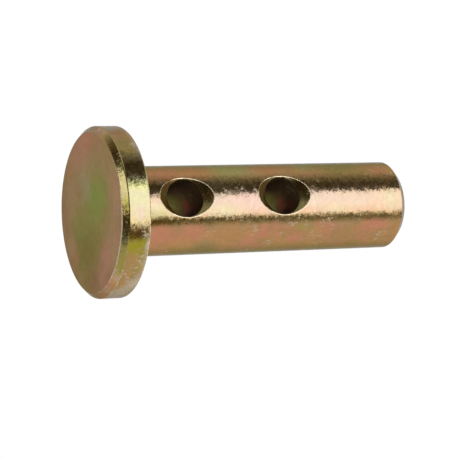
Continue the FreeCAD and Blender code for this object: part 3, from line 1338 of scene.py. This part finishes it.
BEVEL_PATCHES = (
    Blotch((-12.6, -7.1, 0.5), (3.0, 3.0, 2.0), Tint.FAWN, 0.8),
    Blotch((-12.7, -7.7, 0.8), (1.6, 1.6, 1.0), Tint.CORAL, 0.5),
    Blotch((-11.6, -8.3, 0.4), (2.0, 2.0, 1.0), Tint.FAWN, 0.8),
    Blotch((6.2, -13.1, 0.5), (1.5, 1.5, 2.0), Tint.BROWN, 0.6),
    Blotch((13.2, -5.8, 0.3), (1.4, 1.4, 1.0), Tint.CORAL, 0.5),
    Blotch((-7.6, -12.4, 0.6), (3.4, 2.6, 2.0), Tint.BROWN, 0.8),
    Blotch((-14.0, 0.0, 0.5), (4.0, 9.0, 2.0), Tint.PEWTER, 0.8),
    Blotch((12.0, -7.8, 0.3), (2.6, 2.6, 2.0), Tint.LEMON, 0.8),
    Blotch((3.0, -14.2, 0.5), (1.5, 1.3, 2.0), Tint.MOSS, 0.8),
    Blotch((10.3, -10.2, 0.4), (2.0, 2.0, 2.0), Tint.LEMON, 0.7),
    Blotch((14.0, -3.0, 0.3), (2.0, 3.0, 2.0), Tint.CORAL, 0.6),
    Blotch((14.4, 1.5, 0.3), (2.4, 4.0, 2.0), Tint.FAWN, 0.95),
    Blotch((13.4, -5.6, 0.8), (1.2, 1.2, 0.6), Tint.PEWTER, 0.4),
)

BEVEL_SMUDGES = (
    Smudge((13.5, -6.2, 0.5), 1.4), Smudge((-5.7, -13.6, 0.8), 0.9), Smudge((-11.6, -9.0, 0.5), 2.0),
    Smudge((-12.7, -7.5, 0.6), 2.0), Smudge((12.8, -6.8, 0.5), 1.4), Smudge((13.7, -5.2, 0.8), 1.6),
    Smudge((14.4, -1.6, 0.7), 2.4),
)


class EffectGroups:
    """The shader node groups that the finishes share, each made once."""

    def __init__(self) -> None:
        """Makes the groups."""
        self.film = self._film()
        self.blotch = self._blotch()
        self.grain = self._grain()
        self.scuff = self._scuff()
        self.edge = self._edge()
        self.brushed = self._brushed()

    @staticmethod
    def _tree(name: str, inputs: dict[str, str], outputs: dict[str, str]
              ) -> tuple[bpy.types.NodeTree, Board, bpy.types.NodeOutputs, bpy.types.NodeInputs]:
        """Starts a node group.

        Args:
            name: the group's name.
            inputs: kind of each input by its name.
            outputs: kind of each output by its name.

        Returns:
            The tree, its board, the inputs that it is given and the outputs that it fills.
        """
        tree = bpy.data.node_groups.new(name, "ShaderNodeTree")
        for way, sockets in (("INPUT", inputs), ("OUTPUT", outputs)):
            for label, kind in sockets.items():
                tree.interface.new_socket(name=label, in_out=way, socket_type="NodeSocket" + kind)
        board = Board(tree)
        return tree, board, board.node("NodeGroupInput").outputs, board.node("NodeGroupOutput").inputs

    def _film(self) -> bpy.types.NodeTree:
        """Three film colours that run into each other in clouds.

        Returns:
            The node group.
        """
        middle, finer, apart = 0.54, 1.4, (41.0, 17.0, 29.0)
        tree, board, given, wanted = self._tree(
            "film_colour",
            {"Place": "Vector", "Base": "Color", "Second": "Color", "Third": "Color",
             "Cloud Size": "Float", "Spread": "Float"},
            {"Color": "Color"})
        scale = board.math("DIVIDE", 1.0, given["Cloud Size"])
        first = board.noise(given["Place"], scale, detail=3.0, roughness=0.55)
        moved = board.vector("ADD", given["Place"], apart)
        second = board.noise(moved, board.times(scale, finer), detail=3.0, roughness=0.55)
        half = board.times(given["Spread"], 0.5)
        low, high = board.math("SUBTRACT", middle, half), board.math("ADD", middle, half)
        warm = board.mix(board.step(first, low, high), given["Base"], given["Second"])
        board.put(wanted["Color"], board.mix(board.step(second, low, high), warm, given["Third"]))
        return tree

    def _blotch(self) -> bpy.types.NodeTree:
        """A soft ragged patch about one place.

        Returns:
            The node group.
        """
        wander, inner, outer = 0.45, 0.10, 1.45
        tree, board, given, wanted = self._tree(
            "patch_mask",
            {"Place": "Vector", "Centre": "Vector", "Size": "Vector", "Ragged": "Float"},
            {"Mask": "Float"})
        noise = board.noise(given["Place"], wander, detail=3.0, output="Color")
        pushed = board.scaled(board.vector("ADD", noise, CENTRED), given["Ragged"])
        moved = board.vector("ADD", given["Place"], pushed)
        away = board.vector("SUBTRACT", moved, given["Centre"])
        reach = board.length(board.vector("DIVIDE", away, given["Size"]))
        board.put(wanted["Mask"], board.step(reach, inner, outer, 1.0, 0.0))
        return tree

    def _grain(self) -> bpy.types.NodeTree:
        """The fine crystal grain of the zinc under the film.

        Returns:
            The node group.
        """
        broader, mottled, facets, apart = 0.3, 0.5, 1.8, (13.0, 5.0, 2.0)
        bounds, darkest, palest = (0.28, 0.72), 0.95, 1.04
        tree, board, given, wanted = self._tree(
            "zinc_grain",
            {"Place": "Vector", "Grain Size": "Float", "Waviness": "Float"},
            {"Height": "Float", "Mottle": "Float", "Tone": "Float", "Tilt": "Vector"})
        place = given["Place"]
        scale = board.math("DIVIDE", 1.0, given["Grain Size"])
        fine = board.noise(place, scale, detail=2.0, roughness=0.6)
        broad = board.noise(place, board.times(scale, broader), detail=1.0)
        board.put(wanted["Height"], board.math("ADD", fine, board.times(broad, given["Waviness"])))
        board.put(wanted["Mottle"], board.noise(place, board.times(scale, mottled)))
        specks = board.noise(board.vector("ADD", place, apart), scale, detail=3.0, roughness=0.6)
        board.put(wanted["Tone"], board.step(specks, *bounds, darkest, palest))
        crystals = board.node("ShaderNodeTexVoronoi", {"Vector": place, "Scale": board.times(scale, facets)})
        board.put(wanted["Tilt"], board.vector("ADD", crystals.outputs["Color"], CENTRED))
        return tree

    def _scuff(self) -> bpy.types.NodeTree:
        """Sparse rubbed specks and short streaks.

        Returns:
            The node group.
        """
        stretch, apart, rare, nearer, softness = (1.0, 1.0, 0.6), (7.0, 3.0, 11.0), 0.74, 0.28, 0.20
        speck_scale, area_scale, area_bounds, area_most = 1.9, 0.22, (0.48, 0.68), 0.75
        tree, board, given, wanted = self._tree(
            "rubbed_specks", {"Place": "Vector", "Amount": "Float", "Gathered": "Float"}, {"Mask": "Float"})
        fine = board.noise(board.vector("MULTIPLY", given["Place"], stretch), speck_scale,
                           detail=3.0, roughness=0.6)
        sparse = board.noise(board.vector("ADD", given["Place"], apart), area_scale)
        held = board.math("MAXIMUM", given["Gathered"], board.step(sparse, *area_bounds, end=area_most))
        limit = board.math("SUBTRACT", rare, board.times(held, nearer))
        mask = board.step(fine, limit, board.math("ADD", limit, softness))
        board.put(wanted["Mask"], board.times(mask, given["Amount"]))
        return tree

    def _edge(self) -> bpy.types.NodeTree:
        """Where the rounded edges are rubbed bright.

        Returns:
            The node group.
        """
        scale, raggedness, low, high = 0.9, 0.9, 0.95, 1.25
        tree, board, given, wanted = self._tree(
            "edge_wear", {"Place": "Vector", "Amount": "Float"}, {"Mask": "Float"})
        layer = board.node("ShaderNodeAttribute", attribute_name=WEAR_ATTRIBUTE)
        broken = board.noise(given["Place"], scale, detail=4.0, roughness=0.65)
        chance = board.times(layer.outputs["Fac"], given["Amount"])
        worn = board.math("ADD", chance, board.times(broken, raggedness))
        board.put(wanted["Mask"], board.step(worn, low, high))
        return tree

    def _brushed(self) -> bpy.types.NodeTree:
        """Faint handling streaks that run along X.

        Returns:
            The node group.
        """
        stretch, streak_scale, streak_bounds = (0.16, 1.0, 1.0), 1.3, (0.50, 0.72)
        break_scale, break_bounds = 0.25, (0.40, 0.65)
        tree, board, given, wanted = self._tree(
            "handling_streaks", {"Place": "Vector", "Amount": "Float"}, {"Mask": "Float"})
        drawn = board.vector("MULTIPLY", given["Place"], stretch)
        streaks = board.step(board.noise(drawn, streak_scale, detail=3.0, roughness=0.6), *streak_bounds)
        broken = board.step(board.noise(given["Place"], break_scale), *break_bounds)
        board.put(wanted["Mask"], board.times(board.times(streaks, broken), given["Amount"]))
        return tree


@dataclass(frozen=True)
class PlatedFinish:
    """The chromate film of one zone of the pin; near-black colours in the countersinks and bores are painted
    shade.

    Args:
        base: the film's main colour.
        second: the colour of its first clouds.
        third: the colour of its second clouds.
        cloud: size of the clouds, in mm.
        spread: softness of the clouds' edges.
        roughness: plain roughness of the film.
        metallic: how far the film mirrors as metal.
        grain: size of the grain, in mm.
        grain_depth: height of the grain, in mm.
        facets: how far the crystals lean to either side.
        rubbed: how many specks are rubbed through.
        wear: how far the edges are rubbed bright.
        edge_tint: colour of rubbed edges.
        edge_dulling: how matt the rubbed edges are.
        glancing: tint of the metal at grazing angles.
        streaks: how strong its handling streaks are.
        blotches: patches at fixed places.
        smudges: rubbed patches at fixed places.
        raggedness: how ragged the patches are, as a share of their size.
        waviness: how much broader waves add to the grain.
        mottle: how far the roughness strays below and above.
        mottle_bounds: where the noise behind it reaches its least and its most.
        scuff_cover: how far rubbed specks hide the film.
        edge_cover: how far rubbed edges hide the film.
        matt_roughness: roughness that rubbing adds.
        matt_share: how much of the mirroring rubbing takes away.
    """

    base: Tint
    second: Tint
    third: Tint
    cloud: float = 7.0
    spread: float = 0.16
    roughness: float = 0.20
    metallic: float = 1.0
    grain: float = 0.52
    grain_depth: float = 0.026
    facets: float = 0.065
    rubbed: float = 0.8
    wear: float = 0.8
    edge_tint: Tint = Tint.CREAM
    edge_dulling: float = 0.6
    glancing: Triple = (0.34, 0.40, 0.36)
    streaks: float = 0.25
    blotches: tuple[Blotch, ...] = ()
    smudges: tuple[Smudge, ...] = ()
    raggedness: float = 0.9
    waviness: float = 0.7
    mottle: Span = (0.03, 0.05)
    mottle_bounds: Span = (0.3, 0.7)
    scuff_cover: float = 0.8
    edge_cover: float = 0.85
    matt_roughness: float = 0.35
    matt_share: float = 0.65

    def build(self, name: str, groups: EffectGroups) -> bpy.types.Material:
        """Makes the material.

        Args:
            name: the material's name.
            groups: the shared node groups.

        Returns:
            The material.
        """
        material = bpy.data.materials.new(name)
        material.use_nodes = True
        board = Board(material.node_tree)
        shader = material.node_tree.nodes["Principled BSDF"].inputs
        local = board.node("ShaderNodeTexCoord").outputs["Object"]
        place = board.scaled(local, 1.0 / MM)
        colour = board.group(groups.film, {
            "Place": place, "Base": self.base.rgba, "Second": self.second.rgba,
            "Third": self.third.rgba, "Cloud Size": self.cloud, "Spread": self.spread})["Color"]
        for blotch in self.blotches:
            patch = board.group(groups.blotch, {
                "Place": place, "Centre": blotch.place, "Size": blotch.size,
                "Ragged": self.raggedness * min(blotch.size)})["Mask"]
            colour = board.mix(board.times(patch, blotch.strength), colour, blotch.tint.rgba)
        gathered = 0.0
        for smudge in self.smudges:
            patch = board.group(groups.blotch, {
                "Place": place, "Centre": smudge.place, "Size": (smudge.reach,) * 3,
                "Ragged": smudge.reach})["Mask"]
            gathered = board.math("MAXIMUM", gathered, patch)
        scuff = board.group(groups.scuff, {"Place": place, "Amount": self.rubbed,
                                           "Gathered": gathered})["Mask"]
        grain = board.group(groups.grain, {"Place": place, "Grain Size": self.grain,
                                           "Waviness": self.waviness})
        edge = board.group(groups.edge, {"Place": place, "Amount": self.wear})["Mask"]
        streaks = board.group(groups.brushed, {"Place": place, "Amount": self.streaks})["Mask"]
        colour = board.mix(streaks, board.scaled(colour, grain["Tone"]), Tint.PEWTER.rgba)
        colour = board.mix(board.times(scuff, self.scuff_cover), colour, Tint.WORN.rgba)
        colour = board.mix(board.times(edge, self.edge_cover), colour, self.edge_tint.rgba)
        board.put(shader["Base Color"], colour)
        dulled = board.math("MAXIMUM", scuff, board.times(edge, self.edge_dulling))
        less, more = self.mottle
        mottled = board.step(grain["Mottle"], *self.mottle_bounds,
                             self.roughness - less, self.roughness + more)
        board.put(shader["Roughness"],
                  board.math("ADD", mottled, board.times(dulled, self.matt_roughness)))
        board.put(shader["Metallic"],
                  board.math("SUBTRACT", self.metallic, board.times(dulled, self.matt_share)))
        shader["Specular Tint"].default_value = (*self.glancing, 1.0)
        bump = board.node("ShaderNodeBump", {"Strength": 1.0, "Distance": self.grain_depth * MM,
                                             "Height": grain["Height"]}).outputs["Normal"]
        leant = board.vector("ADD", bump, board.scaled(grain["Tilt"], self.facets))
        board.put(shader["Normal"], board.vector("NORMALIZE", leant))
        return material


@dataclass
class PinFinishes:
    """The finish of every zone of the pin."""

    groups: EffectGroups = field(default_factory=EffectGroups)

    @staticmethod
    def zones() -> dict[Zone, PlatedFinish]:
        """Chooses the finishes.

        The shank is amber film with rust and olive clouds, with a pale peach and honey strip painted along
        the side in view where the highlight falls, and a drab strip painted darker along the dark reflected
        line below it.
        The face is matt pinkish brown with a green heart, the rim brassy with a pale straw patch painted
        where its highlight falls, and the bevel gold. The countersinks and bores have near-black film, which
        is painted shade of the recessed holes, and an olive patch deep in each bore is painted light from the
        far mouth.

        Returns:
            The finish of each zone.
        """
        heights = CrossHoles().heights()
        sunk = tuple(Blotch((2.6, -7.2, height + 3.9), (2.2, 3.0, 2.2), Tint.SAGE, 0.45)
                     for height in heights)
        # Painted light: the moss patch deep in each bore is where light from the far mouth falls; the wine
        # patches are film colour.
        bore_film_and_painted_light = tuple(
            patch for height in heights for patch in (
                Blotch((-2.4, 4.8, height + 2.6), (3.0, 4.6, 3.0), Tint.MOSS, 0.9),
                Blotch((-0.6, 0.0, height + 3.6), (1.5, 1.8, 1.5), Tint.WINE, 0.8),
                Blotch((0.9, -3.6, height + 3.5), (1.6, 1.6, 1.6), Tint.WINE, 0.5),
            ))
        plain = PlatedFinish(Tint.BRASS, Tint.AMBER, Tint.KHAKI, cloud=9.0, spread=0.5, roughness=0.24)
        return {
            Zone.FACE: PlatedFinish(
                Tint.CLAY, Tint.FAWN, Tint.KHAKI, cloud=12.0, spread=0.4, roughness=0.30, rubbed=0.4,
                grain=1.2, grain_depth=0.008, facets=0.010, wear=1.0, streaks=0.1,
                edge_tint=Tint.IVORY, blotches=FACE_PATCHES),
            Zone.BEVEL: PlatedFinish(
                Tint.GOLD, Tint.GOLD, Tint.BRASS, blotches=BEVEL_PATCHES, smudges=BEVEL_SMUDGES,
                rubbed=0.6, edge_tint=Tint.WORN, wear=0.9, glancing=(0.50, 0.46, 0.40)),
            Zone.RIM: PlatedFinish(
                Tint.BRASS, Tint.BRONZE, Tint.KHAKI, spread=0.3, blotches=RIM_FILM_AND_PAINTED_HIGHLIGHT,
                smudges=RIM_SMUDGES, rubbed=0.8, glancing=(0.50, 0.46, 0.42)),
            Zone.UNDERSIDE: plain,
            Zone.SHANK: PlatedFinish(
                Tint.AMBER, Tint.CORAL, Tint.BRONZE, cloud=4.5, spread=0.26, grain=0.70,
                glancing=(0.47, 0.52, 0.48), blotches=SHANK_FILM_AND_PAINTED_BANDS, smudges=SHANK_SMUDGES),
            # Painted shade: near-black carob and kelp film darkens the countersinks.
            Zone.COUNTERSINK: PlatedFinish(
                Tint.CAROB, Tint.KELP, Tint.CAROB, cloud=2.5, roughness=0.25, facets=0.03,
                edge_tint=Tint.IVORY, edge_dulling=0.2, wear=1.0, glancing=(0.25, 0.25, 0.2),
                blotches=sunk),
            # Painted shade: near-black film darkens the bores.
            Zone.BORE: PlatedFinish(
                Tint.SHADE_BLACK, Tint.BISTRE, Tint.SHADE_BLACK, cloud=5.0, spread=0.4, roughness=0.5,
                metallic=0.78, rubbed=0.1, wear=0.6, facets=0.0, glancing=(0.30, 0.22, 0.12),
                edge_tint=Tint.GOLD, blotches=bore_film_and_painted_light),
            Zone.CHAMFER: PlatedFinish(
                Tint.PEWTER, Tint.WORN, Tint.KHAKI, cloud=1.6, spread=0.5, glancing=(0.6, 0.6, 0.6)),
            Zone.TIP: plain,
        }

    def build(self) -> list[bpy.types.Material]:
        """Makes one material for each zone.

        Returns:
            The materials in the order of the zones.
        """
        finishes = self.zones()
        return [finishes[zone].build("plated_" + zone.name.lower(), self.groups) for zone in Zone]


def main() -> None:
    """Builds the pin, its finish, the camera and the studio."""
    logging.basicConfig(level=logging.INFO, format="%(name)s: %(message)s")
    scene = bpy.context.scene
    scene.view_settings.view_transform = "Standard"
    camera = PhotoCamera()
    camera.build()
    Studio(camera).build()
    pin = DrivePin()
    piece = pin.build().to_object("plated_pin", PinFinishes().build())
    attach(piece, "root")
    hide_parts("drive_pin")
    LOG.info("plated_pin: %d points, %d faces", len(pin.skin.places), len(pin.skin.faces))


if __name__ == "__main__":
    main()
